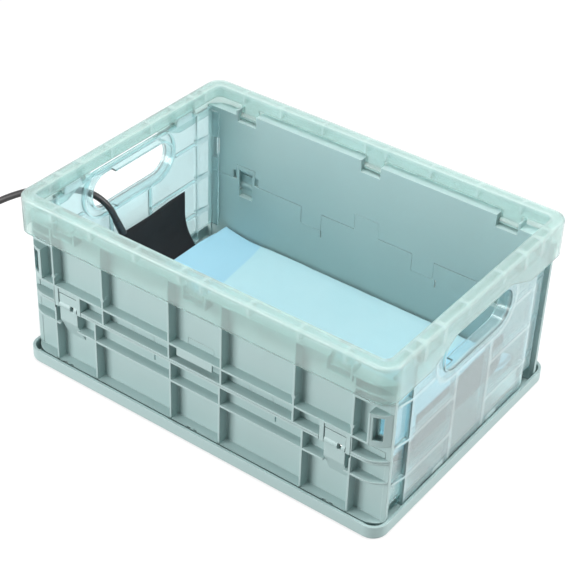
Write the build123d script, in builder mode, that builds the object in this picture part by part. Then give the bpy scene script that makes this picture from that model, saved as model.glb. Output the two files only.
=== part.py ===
"""Folding crate brooder: ribbed long walls, clear rim and end panels, heating pad, liner and lead.

Millimetres. +X runs along the long side, the front wall faces -Y, +Z is up, and the origin is the
middle of the underside of the base.
"""

import math
import os

from build123d import *

os.makedirs("parts", exist_ok=True)

# Driving dimensions of the crate
length = 430.0
width = 307.0
height = 196.0
corner_radius = 16.0
pin_radius = 1.5
running_bore_radius = 1.58

# Base tray
lip_height = 15.5
lip_thickness = 3.0
trough_floor = 2.5
platform_top = 10.0
platform_half_length = 200.0
platform_half_width = 132.0
cell_pitch_x = 40.0
cell_pitch_y = 44.0
cell_columns = 10
cell_rows = 6
cell_rib = 2.2
cell_depth = 7.5
base_edge_fillet = 4.0

# Long walls, as distances from the middle plane of the crate
skin_inside = 134.2
skin_outside = 136.5
rib_face = 147.3
rib_thickness = 2.0
rib_back_low = 137.0
wall_foot = 4.0
bottom_shelf_top = 13.5
lower_ledge_top = 61.3
upper_ledge_top = 105.0
shelf_thickness = 2.0
parting_outside = 84.0
parting_inside = 93.0
parting_gap = 0.6
wall_top = 178.0
lower_rib_x = (29.5, 124.0, 176.0)
upper_rib_x = (31.0, 113.0, 176.0)
nub_radius = 2.2
nub_height = 115.0
nub_rib_x = (113.0, 176.0)
tooth_x = 70.5
tooth_half_width = 13.0
tooth_bottom = 73.0
tab_half_width = 15.0
tab_top = 112.0
slit_x = (-57.0, 87.0)
slit_width = 1.6
slit_bottom = 64.0
slit_top = 73.0
apron_half_width = 21.0
apron_thickness = 2.0
apron_bottom = 95.0
foot_notch_starts = (-10.0, -2.0)
foot_notch_width = 4.5
foot_notch_depth = 1.5

# Wrapped corners of the long walls
last_rib_x = 176.0
corner_start_x = 190.0
corner_arc_radius = 25.0
corner_arc_degrees = 56.0
post_inside_x = 206.0
post_outside_x = 211.0
post_tip = 132.5
post_root = 136.8
skin_end_x = 205.4
corner_cut_x = 173.2
corner_top = 172.0
window_x = (196.0, 205.0)
window_z = (109.0, 135.0)
window_frame_z = (103.0, 138.5)
window_frame_start_x = 191.8
window_wall = 2.0
high_shelves = (150.5, 161.0)

# Wall hinges
hinge_places = (-159.0, 0.0, 159.0)
mid_hinge_places = (-159.0, 159.0)
knuckle_half_width = 11.2
ear_start = 12.0
ear_end = 16.5
mid_axis = 143.2
mid_barrel_radius = 4.6
barrel_slot_x = (3.0, 7.5)
barrel_slot_half_height = 3.2
tongue_top = 97.6
bridge_bottom = 98.6
tongue_inside = 140.4
tongue_outside = 146.4
wedge_foot = 44.0
wedge_top = 66.0
hinge_tab_half_width = 12.0
hinge_tab_top = 111.0
hinge_tab_lap = 135.1
hinge_room_lap = 135.5
hinge_pocket_half_width = 9.0
hinge_pocket_z = (72.0, 106.0)
ear_bottom = 78.5
opening_half_width = 17.2
base_axis = 143.2
base_axis_z = 7.0
base_barrel_radius = 2.9
rim_axis = 141.0
rim_axis_z = 170.0
rim_barrel_radius = 3.2
notch_half_width = 12.0
notch_bottom = 164.5

# Top rim
rim_bottom = 157.0
rim_width = 13.0
rim_wall = 2.4
rim_inner_wall = 2.2
rim_inner_bottom = 182.5
rim_inner_corner = 7.0
rim_edge_fillet = 2.6
rim_rib = 1.6
rim_rib_bottom = 183.5
rim_rib_x = (12.5, 65.5, 119.5, 168.0)
rim_rib_y = (30.0, 118.0)
grip_top = 174.0
grip_top_half = 48.0
grip_foot_half = 86.0
grip_corner_fillet = 8.0

# End panels
end_axis_x = 207.0
end_axis_z = 178.0
panel_inside_x = 203.6
strip_outside_x = 206.0
plate_inside_x = 208.2
plate_outside_x = 210.6
plate_half_width = 107.4
step_thickness = 2.2
panel_half_width = 132.0
strip_bottom = 24.0
panel_bottom = 11.5
panel_top = 173.5
panel_rib = 1.8
hold_length = 117.0
hold_height = 40.0
hold_z = 149.5
hold_lip = 2.0
hold_lip_x = 211.8
collar_x = 197.6
collar_start_y = -30.0
ring_length = 141.0
ring_height = 62.0
panel_rib_z = (47.0, 91.0)
side_rib_z = 137.0
panel_rib_y = 30.5
gusset_z = (47.0, 91.0, 137.0)
gusset_thickness = 3.0
gusset_end_y = 130.5
flange_x = 194.6
flange_thickness = 2.0
flange_top = 168.0
latch_y = 48.0
latch_half_width = 8.0
latch_top = 20.0
end_barrel_radius = 3.6
end_barrel_y = (72.0, 98.0)
end_ear_radius = 4.2
end_ear_width = 3.6
end_ear_gap = 0.4
end_ear_inside_x = 205.0
end_ear_outside_x = 212.8

# Heating pad and liner
pad_thickness = 5.0
pad_half_width = 76.5
pad_edge_round = 2.2
pad_axis_z = 12.9
pad_bend_x = 197.4
pad_tip_x = 198.4
pad_tip_z = 91.5
pad_bend_radius = 56.0
cavity_thickness = 2.4
cavity_half_width = 67.0
cavity_tip_z = 84.0
element_thickness = 1.2
element_half_length = 136.0
element_half_width = 64.0
element_slots = 11
element_slot_width = 3.0
element_slot_reach = 114.0
cutout_size = (13.0, 9.0, 2.0)
cutout_place = (-102.0, 40.0)
cutout_window = (15.0, 13.0)
liner_half_width = 132.0
liner_thickness = 5.0
liner_gap = 0.3
liner_edge_round = 1.8
liner_end_degrees = 48.0
tuck_inside = 82.0
tuck_half_length = 138.0
tuck_bottom = 10.4
tuck_top = 14.8
tuck_joint = 127.0

# Lead with its strain relief, coil, tie and plug
cord_radius = 3.5
relief_base_radius = 4.5
relief_tip_radius = 3.9
relief_base_y = -22.5
cord_route = [
    (-196.5, -33.6, 113.5),
    (-197.1, -38.2, 126.0),
    (-201.6, -43.2, 137.4),
    (-209.4, -49.7, 146.8),
    (-219.0, -58.8, 152.8),
    (-233.0, -72.0, 155.9),
    (-253.0, -87.0, 154.2),
    (-273.0, -101.0, 145.8),
    (-292.0, -114.5, 133.4),
    (-307.0, -125.5, 114.0),
    (-317.5, -133.5, 89.0),
    (-326.5, -140.5, 63.0),
    (-336.5, -148.0, 39.0),
    (-350.0, -155.5, 20.5),
    (-367.5, -161.0, 9.5),
    (-386.0, -164.0, 4.9),
    (-402.0, -164.0, 4.9),
]
cord_fillet_share = 0.45
coil_outer_radius = 47.0
coil_pitch = 8.6
coil_turns_per_layer = 2.0
coil_quarter_turns = 17
coil_start_run = 7.0
coil_tail_run = 24.0
tie_thickness = 1.0
tie_width = 9.0
tie_gap = 0.3
tie_slack = 1.0
plug_length = 36.0
plug_width = 32.0
plug_height = 26.2
plug_corner = 8.0
plug_neck_length = 22.0
plug_neck_radius = 5.6
plug_pin_radius = 2.0
plug_pin_length = 19.0
plug_pin_spacing = 19.0


def slab(side, x_range, depth_range, z_range, mode=Mode.ADD):
    """Box between two x values, two distances out from the middle plane and two heights."""
    y_range = sorted(side * depth for depth in depth_range)
    size = [high - low for low, high in (x_range, y_range, z_range)]
    middle = [(high + low) / 2 for low, high in (x_range, y_range, z_range)]
    with Locations(tuple(middle)):
        Box(*size, mode=mode)


def end_slab(end, x_range, y_range, z_range, mode=Mode.ADD):
    """Box between two distances out along X on one end of the crate."""
    span = sorted(end * value for value in x_range)
    size = [high - low for low, high in (span, y_range, z_range)]
    middle = [(high + low) / 2 for low, high in (span, y_range, z_range)]
    with Locations(tuple(middle)):
        Box(*size, mode=mode)


def around(middle, half):
    """Range of a given half width about a middle value."""
    return (middle - half, middle + half)


def rod_x(x_range, y, z, radius, mode=Mode.ADD):
    """Round bar along X."""
    with Locations(((x_range[0] + x_range[1]) / 2, y, z)):
        Cylinder(radius, x_range[1] - x_range[0], rotation=(0, 90, 0), mode=mode)


def rod_y(y_range, x, z, radius, mode=Mode.ADD):
    """Round bar along Y."""
    with Locations((x, (y_range[0] + y_range[1]) / 2, z)):
        Cylinder(radius, y_range[1] - y_range[0], rotation=(90, 0, 0), mode=mode)


def corner_outline(end, side, back, front_offset=0.0):
    """Plan outline of a wrapped corner, from the last rib round to the post."""
    radius = corner_arc_radius - front_offset
    face = rib_face - front_offset
    centre_depth = rib_face - corner_arc_radius
    turn = math.radians(corner_arc_degrees)
    half = turn / 2

    def on_arc(angle):
        return (
            end * (corner_start_x + radius * math.sin(angle)),
            side * (centre_depth + radius * math.cos(angle)),
        )

    start = (end * corner_start_x, side * face)
    Polyline(
        (end * post_inside_x, side * back),
        (end * last_rib_x, side * back),
        (end * last_rib_x, side * face),
        start,
    )
    ThreePointArc(start, on_arc(half), on_arc(turn))
    Line(on_arc(turn), (end * post_inside_x, side * back))


def corner_shelf(end, side, back, top):
    """Curved shelf that carries a ledge round the corner."""
    with BuildSketch(Plane.XY.offset(top - shelf_thickness)) as plan:
        with BuildLine():
            corner_outline(end, side, back)
        make_face()
    extrude(plan.sketch, amount=shelf_thickness)


def shelf(side, back, top):
    """Full-length shelf with its two curved ends."""
    slab(side, (-last_rib_x, last_rib_x), (back, rib_face), (top - shelf_thickness, top))
    for end in (-1, 1):
        corner_shelf(end, side, back, top)


def ribs(side, places, back, z_range):
    """Upright ribs, mirrored about the middle of the wall."""
    for place in places:
        for x in (-place, place):
            slab(side, around(x, rib_thickness / 2), (back, rib_face), z_range)


def posts(side, z_range):
    """Returns at both ends of a wall half that close its corner pockets."""
    for end in (-1, 1):
        x_range = sorted((end * post_inside_x, end * post_outside_x))
        slab(side, x_range, (post_tip, post_root), z_range)


def hinge_wedge(side, x):
    """Block that carries a tongue, drawn back to the skin below it."""
    with BuildSketch(Plane.YZ.offset(x - knuckle_half_width)) as profile:
        with BuildLine():
            Polyline(
                (side * skin_outside, wedge_foot),
                (side * tongue_outside, wedge_top),
                (side * tongue_outside, ear_bottom),
                (side * skin_outside, ear_bottom),
                close=True,
            )
        make_face()
    extrude(profile.sketch, amount=2 * knuckle_half_width)


def lower_wall(side, name):
    skin_high = parting_inside - parting_gap / 2
    flange_high = parting_outside - parting_gap / 2
    with BuildPart() as wall:
        slab(side, (-post_inside_x, post_inside_x), (skin_inside, skin_outside), (wall_foot, flange_high))
        slab(side, (-skin_end_x, skin_end_x), (skin_inside, skin_outside), (flange_high, skin_high))
        slab(side, around(0, tab_half_width), (skin_inside, skin_outside), (skin_high, tab_top - parting_gap / 2))
        for top in (bottom_shelf_top, lower_ledge_top, flange_high):
            shelf(side, skin_outside, top)
        ribs(side, lower_rib_x, skin_outside, (bottom_shelf_top - shelf_thickness, flange_high))
        posts(side, (wall_foot, flange_high))
        for x in (-tooth_x, tooth_x):
            tooth = around(x, tooth_half_width + parting_gap / 2)
            slab(
                side,
                tooth,
                (skin_inside, skin_outside),
                (tooth_bottom - parting_gap / 2, skin_high),
                Mode.SUBTRACT,
            )
        for x in slit_x:
            slab(
                side,
                around(x, slit_width / 2),
                (skin_inside, skin_outside),
                (slit_bottom, slit_top),
                Mode.SUBTRACT,
            )
        # Room for the ears of the upper half, then the tongue with its barrel
        for x in mid_hinge_places:
            slab(
                side,
                around(x, opening_half_width),
                (rib_back_low - parting_gap, rib_face),
                (ear_bottom - 1.0, parting_inside),
                Mode.SUBTRACT,
            )
            knuckle = around(x, knuckle_half_width)
            skin = (skin_inside, skin_outside)
            tab = around(x, hinge_tab_half_width)
            tab_shoulder = upper_ledge_top - 2 * parting_gap
            slab(side, tab, skin, (skin_high, tab_shoulder))
            slab(side, tab, (skin_inside, hinge_tab_lap), (tab_shoulder, hinge_tab_top))
            ledge = (lower_ledge_top - shelf_thickness, lower_ledge_top)
            slab(side, knuckle, (skin_outside, rib_face), ledge, Mode.SUBTRACT)
            hinge_wedge(side, x)
            pocket = around(x, hinge_pocket_half_width)
            slab(side, pocket, (skin_inside, tongue_inside), hinge_pocket_z, Mode.SUBTRACT)
            slab(side, knuckle, (tongue_inside, tongue_outside), (ear_bottom, tongue_top))
            rod_x(knuckle, side * mid_axis, parting_outside, mid_barrel_radius)
            rod_x(knuckle, side * mid_axis, parting_outside, running_bore_radius, Mode.SUBTRACT)
            slot = (x + barrel_slot_x[0], x + barrel_slot_x[1])
            slot_z = around(parting_outside, barrel_slot_half_height)
            slab(side, slot, (mid_axis, mid_axis + mid_barrel_radius), slot_z, Mode.SUBTRACT)
        for x in hinge_places:
            knuckle = around(x, knuckle_half_width)
            slab(
                side,
                knuckle,
                around(base_axis, base_barrel_radius),
                (base_axis_z, bottom_shelf_top - shelf_thickness),
            )
            rod_x(knuckle, side * base_axis, base_axis_z, base_barrel_radius)
            rod_x(knuckle, side * base_axis, base_axis_z, running_bore_radius, Mode.SUBTRACT)
            for start in foot_notch_starts:
                slab(
                    side,
                    (x + start, x + start + foot_notch_width),
                    (rib_face - foot_notch_depth, rib_face),
                    (bottom_shelf_top - shelf_thickness, bottom_shelf_top),
                    Mode.SUBTRACT,
                )
    wall.part.label = name
    export_step(wall.part, f"parts/{name}.step")


def window_frame(end, side):
    """Curved outer wall and lid of the corner pocket, round the latch window."""
    low, high = window_frame_z
    lid = high - shelf_thickness
    for bottom, top in ((low, lid), (lid, high)):
        with BuildSketch(Plane.XY.offset(bottom)) as plan:
            with BuildLine():
                corner_outline(end, side, skin_outside)
            make_face()
            if bottom == low:
                with BuildLine():
                    corner_outline(end, side, skin_outside, window_wall)
                make_face(mode=Mode.SUBTRACT)
            with Locations((end * (last_rib_x + window_frame_start_x) / 2, side * rib_face)):
                Rectangle(window_frame_start_x - last_rib_x, 2 * corner_arc_radius, mode=Mode.SUBTRACT)
        extrude(plan.sketch, amount=top - bottom)
    jamb = sorted((end * window_frame_start_x, end * (window_frame_start_x + window_wall)))
    slab(side, jamb, (skin_outside, rib_face), window_frame_z)


def upper_wall(side, name):
    skin_low = parting_inside + parting_gap / 2
    flange_low = parting_outside + parting_gap / 2
    with BuildPart() as wall:
        slab(side, (-post_inside_x, post_inside_x), (skin_inside, skin_outside), (skin_low, wall_top))
        for top in (upper_ledge_top, wall_top, *high_shelves):
            if top in high_shelves:
                for end in (-1, 1):
                    corner_shelf(end, side, skin_outside, top)
            else:
                shelf(side, skin_outside, top)
        shelf(side, rib_back_low, flange_low + shelf_thickness)
        ribs(side, upper_rib_x, skin_outside, (skin_low, wall_top))
        ribs(side, upper_rib_x, rib_back_low, (flange_low, skin_low))
        posts(side, (flange_low, wall_top))
        for x in nub_rib_x:
            for place in (-x, x):
                with BuildSketch(Plane.XZ.offset(-side * rib_face)):
                    with Locations((place, nub_height)):
                        Circle(nub_radius)
                extrude(amount=side * (rib_face - rib_back_low) / 2)
        for x in (-tooth_x, tooth_x):
            slab(side, around(x, tooth_half_width), (skin_inside, skin_outside), (tooth_bottom, skin_low))
        tab = around(0, tab_half_width + parting_gap / 2)
        slab(side, tab, (skin_inside, skin_outside), (skin_low, tab_top), Mode.SUBTRACT)
        # Latch windows in the corners
        for end in (-1, 1):
            window_frame(end, side)
            x_range = sorted((end * window_x[0], end * window_x[1]))
            slab(side, x_range, (skin_inside, rib_face), window_z, Mode.SUBTRACT)
        # Apron that hangs from the ledge over the middle tab
        apron = around(0, apron_half_width)
        apron_z = (apron_bottom, upper_ledge_top - shelf_thickness)
        slab(side, apron, (rib_face - apron_thickness, rib_face), apron_z)
        # Mid hinges: an opening for the tongue, a bridge over it and a hooked ear on each side of it
        for x in mid_hinge_places:
            opening = around(x, opening_half_width)
            band = (flange_low, upper_ledge_top - shelf_thickness)
            slab(side, opening, (skin_inside, rib_face), band, Mode.SUBTRACT)
            tab_room = around(x, hinge_tab_half_width + parting_gap)
            shoulder = upper_ledge_top - parting_gap
            lap_z = (shoulder, hinge_tab_top + parting_gap)
            slab(side, tab_room, (skin_inside, skin_outside), (band[1], shoulder), Mode.SUBTRACT)
            slab(side, tab_room, (skin_inside, hinge_room_lap), lap_z, Mode.SUBTRACT)
            slab(side, around(x, ear_start), (tongue_inside, tongue_outside), (bridge_bottom, band[1]))
            for way in (-1, 1):
                ear = sorted((x + way * ear_start, x + way * ear_end))
                slab(side, ear, (rib_back_low, rib_face), (ear_bottom + 2.5, upper_ledge_top - shelf_thickness))
                rod_x(ear, side * mid_axis, parting_outside, rib_face - mid_axis)
                rod_x(ear, side * mid_axis, parting_outside, pin_radius, Mode.SUBTRACT)
        # The wall is lower beyond the last rim hinge
        for end in (-1, 1):
            cut = sorted((end * corner_cut_x, end * length / 2))
            slab(side, cut, (post_tip, width / 2), (corner_top, height), Mode.SUBTRACT)
            step = sorted((end * corner_cut_x, end * last_rib_x))
            slab(side, step, (skin_outside, rib_face), (corner_top - shelf_thickness, corner_top))
            corner_shelf(end, side, skin_outside, corner_top)
        # Rim hinges: a notch in the top edge with a cheek on each side
        for x in hinge_places:
            notch = around(x, notch_half_width)
            slab(side, notch, (skin_inside, rib_face), (notch_bottom, wall_top), Mode.SUBTRACT)
            slab(side, notch, (skin_outside, rib_face), (notch_bottom - shelf_thickness, notch_bottom))
            for way in (-1, 1):
                cheek = sorted((x + way * notch_half_width, x + way * (notch_half_width + rib_thickness)))
                slab(side, cheek, (skin_outside, rib_face), (notch_bottom - shelf_thickness, wall_top))
                rod_x(cheek, side * rim_axis, rim_axis_z, pin_radius, Mode.SUBTRACT)
    wall.part.label = name
    export_step(wall.part, f"parts/{name}.step")


def wall_pins(side, places, depth, z, half_length, name):
    """Hinge pins of one line of hinges."""
    with BuildPart() as pins:
        for x in places:
            rod_x(around(x, half_length), side * depth, z, pin_radius)
    pins.part.label = name
    export_step(pins.part, f"parts/{name}.step")


def rounded_plan(inset, radius):
    """Plan of the crate drawn in by an inset, with round corners."""
    RectangleRounded(length - 2 * inset, width - 2 * inset, radius)


def base_tray():
    with BuildPart() as tray:
        with BuildSketch(Plane.XY):
            rounded_plan(0, corner_radius)
        extrude(amount=lip_height)
        fillet(tray.edges().group_by(Axis.Z)[0], base_edge_fillet)
        with BuildSketch(Plane.XY.offset(trough_floor)):
            rounded_plan(lip_thickness, corner_radius - lip_thickness)
        extrude(amount=lip_height, mode=Mode.SUBTRACT)
        with BuildSketch(Plane.XY.offset(trough_floor)):
            Rectangle(2 * platform_half_length, 2 * platform_half_width)
        extrude(amount=platform_top - trough_floor)
        # Underside cells between the moulded ribs
        with BuildSketch(Plane.XY):
            with GridLocations(cell_pitch_x, cell_pitch_y, cell_columns, cell_rows):
                Rectangle(cell_pitch_x - cell_rib, cell_pitch_y - cell_rib)
        extrude(amount=cell_depth, mode=Mode.SUBTRACT)
        for side in (-1, 1):
            for x in hinge_places:
                for way in (-1, 1):
                    ear = sorted((x + way * ear_start, x + way * ear_end))
                    slab(side, ear, around(base_axis, base_barrel_radius), (trough_floor, base_axis_z))
                    rod_x(ear, side * base_axis, base_axis_z, base_barrel_radius)
                    rod_x(ear, side * base_axis, base_axis_z, pin_radius, Mode.SUBTRACT)
    tray.part.label = "base_tray"
    export_step(tray.part, "parts/base_tray.step")


def top_rim():
    inner_back = rim_width - rim_inner_wall
    rim_half_width = width / 2
    with BuildPart() as rim:
        with BuildSketch(Plane.XY.offset(rim_bottom)):
            rounded_plan(0, corner_radius)
        extrude(amount=height - rim_bottom)
        fillet(rim.edges().group_by(Axis.Z)[-1], rim_edge_fillet)
        with BuildSketch(Plane.XY.offset(rim_bottom)):
            rounded_plan(rim_wall, corner_radius - rim_wall)
        extrude(amount=height - rim_wall - rim_bottom, mode=Mode.SUBTRACT)
        with BuildSketch(Plane.XY.offset(rim_inner_bottom)):
            rounded_plan(inner_back, rim_inner_corner + rim_inner_wall)
        extrude(amount=height - rim_wall - rim_inner_bottom)
        # Cross ribs between the two skirts
        rib_z = (rim_rib_bottom, height - rim_wall)
        for side in (-1, 1):
            depth = (rim_half_width - inner_back - 1.0, rim_half_width - rim_wall)
            for x in rim_rib_x:
                for place in (-x, x):
                    slab(side, around(place, rim_rib / 2), depth, rib_z)
        for end in (-1, 1):
            reach = (length / 2 - inner_back - 1.0, length / 2 - rim_wall)
            for y in rim_rib_y:
                for place in (-y, y):
                    end_slab(end, reach, around(place, rim_rib / 2), rib_z)
        with BuildSketch(Plane.XY.offset(rim_bottom)):
            rounded_plan(rim_width, rim_inner_corner)
        extrude(amount=height - rim_bottom, mode=Mode.SUBTRACT)
        fillet(rim.edges().group_by(Axis.Z)[-1].filter_by(lambda edge: edge.length < length), 0.8)
        # Skirts are cut high over the hand-holds
        with BuildSketch(Plane.YZ) as grip:
            with BuildLine():
                Polyline(
                    (-grip_foot_half, rim_bottom),
                    (-grip_top_half, grip_top),
                    (grip_top_half, grip_top),
                    (grip_foot_half, rim_bottom),
                    close=True,
                )
            make_face()
            fillet(grip.vertices().group_by(Axis.Y)[-1], grip_corner_fillet)
        extrude(amount=length, both=True, mode=Mode.SUBTRACT)
        # Hinge tabs that hang into the notches of the long walls
        for side in (-1, 1):
            for x in hinge_places:
                tab = around(x, knuckle_half_width)
                depth = (rim_half_width - rim_width, rim_half_width - inner_back)
                slab(side, tab, depth, (rim_axis_z, rim_inner_bottom + 1.0))
                rod_x(tab, side * rim_axis, rim_axis_z, rim_barrel_radius)
                rod_x(tab, side * rim_axis, rim_axis_z, running_bore_radius, Mode.SUBTRACT)
        # Ears for the end panels, hung from the top between the skirts
        for end in (-1, 1):
            for side in (-1, 1):
                for y in end_ear_places():
                    ear = sorted((side * y[0], side * y[1]))
                    end_slab(end, (end_ear_inside_x, end_ear_outside_x), ear, (end_axis_z, height - rim_wall))
                    rod_y(ear, end * end_axis_x, end_axis_z, end_ear_radius)
                    rod_y(ear, end * end_axis_x, end_axis_z, pin_radius, Mode.SUBTRACT)
    rim.part.label = "top_rim"
    export_step(rim.part, "parts/top_rim.step")


def end_ear_places():
    """Spans of the two rim ears beside one barrel of an end panel."""
    low, high = end_barrel_y
    return (
        (low - end_ear_gap - end_ear_width, low - end_ear_gap),
        (high + end_ear_gap, high + end_ear_gap + end_ear_width),
    )


def gusset(end, side, z):
    """Flat bracket between the step of an end panel and the strip beside it."""
    with BuildSketch(Plane.XY.offset(z - gusset_thickness / 2)) as plan:
        with BuildLine():
            Polyline(
                (end * strip_outside_x, side * plate_half_width),
                (end * plate_outside_x, side * plate_half_width),
                (end * strip_outside_x, side * gusset_end_y),
                close=True,
            )
        make_face()
    extrude(plan.sketch, amount=gusset_thickness)


def end_panel(end, name):
    rib_x = (panel_inside_x, plate_inside_x)
    ring_low = hold_z - ring_height / 2
    step_inside = plate_half_width - step_thickness
    with BuildPart() as panel:
        plate_x = (plate_inside_x, plate_outside_x)
        end_slab(end, plate_x, around(0, plate_half_width), (panel_bottom, panel_top))
        # Step at each side of the plate, then a set-back strip with a flange inside its edge
        for side in (-1, 1):
            step = sorted((side * step_inside, side * plate_half_width))
            end_slab(end, rib_x, step, (panel_bottom, panel_top))
            strip = sorted((side * step_inside, side * panel_half_width))
            end_slab(end, (panel_inside_x, strip_outside_x), strip, (strip_bottom, panel_top))
            flange = sorted((side * (panel_half_width - flange_thickness), side * panel_half_width))
            end_slab(end, (flange_x, panel_inside_x), flange, (strip_bottom, flange_top))
            for z in gusset_z:
                gusset(end, side, z)
            # Ribs behind the plate
            end_slab(end, rib_x, around(side * panel_rib_y, panel_rib / 2), (panel_bottom, ring_low))
            for z in panel_rib_z:
                rib = sorted((side * panel_rib_y, side * step_inside))
                end_slab(end, rib_x, rib, around(z, panel_rib / 2))
            side_rib = sorted((side * ring_length / 2, side * step_inside))
            end_slab(end, rib_x, side_rib, around(side_rib_z, panel_rib / 2))
        for z in (panel_bottom + panel_rib / 2, panel_top - panel_rib / 2):
            end_slab(end, rib_x, around(0, step_inside), around(z, panel_rib / 2))
        # Hand-hold with its collar, inside a larger ring; the collar is open on one side for a lead
        with BuildSketch(Plane.YZ.offset(end * panel_inside_x)):
            with Locations((0, hold_z)):
                SlotOverall(ring_length, ring_height)
                SlotOverall(ring_length - 2 * panel_rib, ring_height - 2 * panel_rib, mode=Mode.SUBTRACT)
            with Locations((0, panel_top + ring_height / 2)):
                Rectangle(ring_length, ring_height, mode=Mode.SUBTRACT)
        extrude(amount=end * (plate_inside_x - panel_inside_x))
        with BuildSketch(Plane.YZ.offset(end * panel_inside_x)):
            with Locations((0, hold_z)):
                SlotOverall(hold_length + 2 * hold_lip, hold_height + 2 * hold_lip)
        extrude(amount=end * (hold_lip_x - panel_inside_x))
        with BuildSketch(Plane.YZ.offset(end * collar_x)):
            with Locations((0, hold_z)):
                SlotOverall(hold_length + 2 * hold_lip, hold_height + 2 * hold_lip)
            with Locations((collar_start_y - hold_length / 2, hold_z)):
                Rectangle(hold_length, 2 * hold_height, mode=Mode.SUBTRACT)
        extrude(amount=end * (panel_inside_x - collar_x))
        with BuildSketch(Plane.YZ.offset(end * collar_x)):
            with Locations((0, hold_z)):
                SlotOverall(hold_length, hold_height)
        extrude(amount=end * (hold_lip_x - collar_x), mode=Mode.SUBTRACT)
        # Latch blocks at the foot
        for side in (-1, 1):
            latch = around(side * latch_y, latch_half_width)
            end_slab(end, rib_x, latch, (panel_bottom, latch_top))
        # Barrels on the rim hinge
        for side in (-1, 1):
            barrel = sorted((side * end_barrel_y[0], side * end_barrel_y[1]))
            end_slab(end, (panel_inside_x, end_axis_x), barrel, (panel_top - panel_rib, end_axis_z))
            rod_y(barrel, end * end_axis_x, end_axis_z, end_barrel_radius)
            rod_y(barrel, end * end_axis_x, end_axis_z, running_bore_radius, Mode.SUBTRACT)
    panel.part.label = name
    export_step(panel.part, f"parts/{name}.step")


def end_pins(end, name):
    ears = end_ear_places()
    with BuildPart() as pins:
        for side in (-1, 1):
            span = sorted((side * ears[0][0], side * ears[1][1]))
            rod_y(span, end * end_axis_x, end_axis_z, pin_radius)
    pins.part.label = name
    export_step(pins.part, f"parts/{name}.step")


def pad_line(tip_z):
    """Middle line of the pad in the XZ plane, up one end, along the floor and up the other."""
    rise = (tip_z - pad_axis_z) / (pad_tip_z - pad_axis_z)
    tip_x = pad_bend_x + rise * (pad_tip_x - pad_bend_x)
    return (
        (-tip_x, 0, tip_z),
        (-pad_bend_x, 0, pad_axis_z),
        (pad_bend_x, 0, pad_axis_z),
        (tip_x, 0, tip_z),
    )


def heating_pad():
    with BuildPart() as cover:
        with BuildLine() as middle:
            FilletPolyline(*pad_line(pad_tip_z), radius=pad_bend_radius)
        start = Plane(origin=middle.line @ 0, x_dir=(0, 1, 0), z_dir=middle.line % 0)
        with BuildSketch(start):
            RectangleRounded(2 * pad_half_width, pad_thickness, pad_edge_round)
        sweep(path=middle.line)
        with BuildLine() as pocket:
            FilletPolyline(*pad_line(cavity_tip_z), radius=pad_bend_radius)
        pocket_start = Plane(origin=pocket.line @ 0, x_dir=(0, 1, 0), z_dir=pocket.line % 0)
        with BuildSketch(pocket_start):
            Rectangle(2 * cavity_half_width, cavity_thickness)
        sweep(path=pocket.line, mode=Mode.SUBTRACT)
    cover.part.label = "heating_pad_cover"
    export_step(cover.part, "parts/heating_pad_cover.step")


def heating_element():
    slot_step = 2 * element_half_length / (element_slots + 1)
    with BuildPart() as element:
        with BuildSketch(Plane.XY.offset(pad_axis_z - element_thickness / 2)):
            Rectangle(2 * element_half_length, 2 * element_half_width)
            # Slots from alternate edges leave one winding track
            for number in range(element_slots):
                x = -element_half_length + slot_step * (number + 1)
                edge = element_half_width if number % 2 else -element_half_width
                inward = -1 if number % 2 else 1
                with Locations((x, edge + inward * element_slot_reach / 2)):
                    Rectangle(element_slot_width, element_slot_reach, mode=Mode.SUBTRACT)
            with Locations(cutout_place):
                Rectangle(*cutout_window, mode=Mode.SUBTRACT)
        extrude(amount=element_thickness)
    element.part.label = "heating_element"
    export_step(element.part, "parts/heating_element.step")
    with BuildPart() as cutout:
        with Locations((*cutout_place, pad_axis_z)):
            Box(*cutout_size)
        fillet(cutout.edges().filter_by(Axis.X), 0.6)
    cutout.part.label = "thermal_cutout"
    export_step(cutout.part, "parts/thermal_cutout.step")


def absorbent_liner():
    rise = pad_thickness / 2 + liner_gap + liner_thickness / 2
    bend_x = pad_bend_x - pad_bend_radius
    bend_z = pad_axis_z + pad_bend_radius
    bend_radius = pad_bend_radius - rise
    floor_z = bend_z - bend_radius
    with BuildPart() as liner:
        # The ends ride up the bends of the pad
        with BuildLine(Plane.XZ) as middle:
            CenterArc((-bend_x, bend_z), bend_radius, 270 - liner_end_degrees, liner_end_degrees)
            Line((-bend_x, floor_z), (bend_x, floor_z))
            CenterArc((bend_x, bend_z), bend_radius, 270, liner_end_degrees)
        path = middle.wire()
        with BuildSketch(Plane(origin=path @ 0, x_dir=(0, 1, 0), z_dir=path % 0)):
            RectangleRounded(2 * liner_half_width, liner_thickness, liner_edge_round)
        sweep(path=path)
        # Long edges are turned under beside the pad
        for side in (-1, 1):
            x_range = (-tuck_half_length, tuck_half_length)
            slab(side, x_range, (tuck_inside, liner_half_width), (tuck_bottom, tuck_top))
            slab(side, x_range, (tuck_joint, liner_half_width), (tuck_bottom, floor_z))
    liner.part.label = "absorbent_liner"
    export_step(liner.part, "parts/absorbent_liner.step")


def strain_relief():
    base = (-pad_tip_x, relief_base_y, pad_tip_z)
    tip = Vector(*cord_route[0])
    way = Vector(*cord_route[1]) - tip
    with BuildPart() as relief:
        # The base sits square on the pad's top edge
        with BuildSketch(Plane(origin=base, z_dir=(pad_bend_x - pad_tip_x, 0, pad_tip_z - pad_axis_z))):
            Circle(relief_base_radius)
        with BuildSketch(Plane(origin=tip, z_dir=way)):
            Circle(relief_tip_radius)
        loft()
    relief.part.label = "strain_relief"
    export_step(relief.part, "parts/strain_relief.step")


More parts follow.
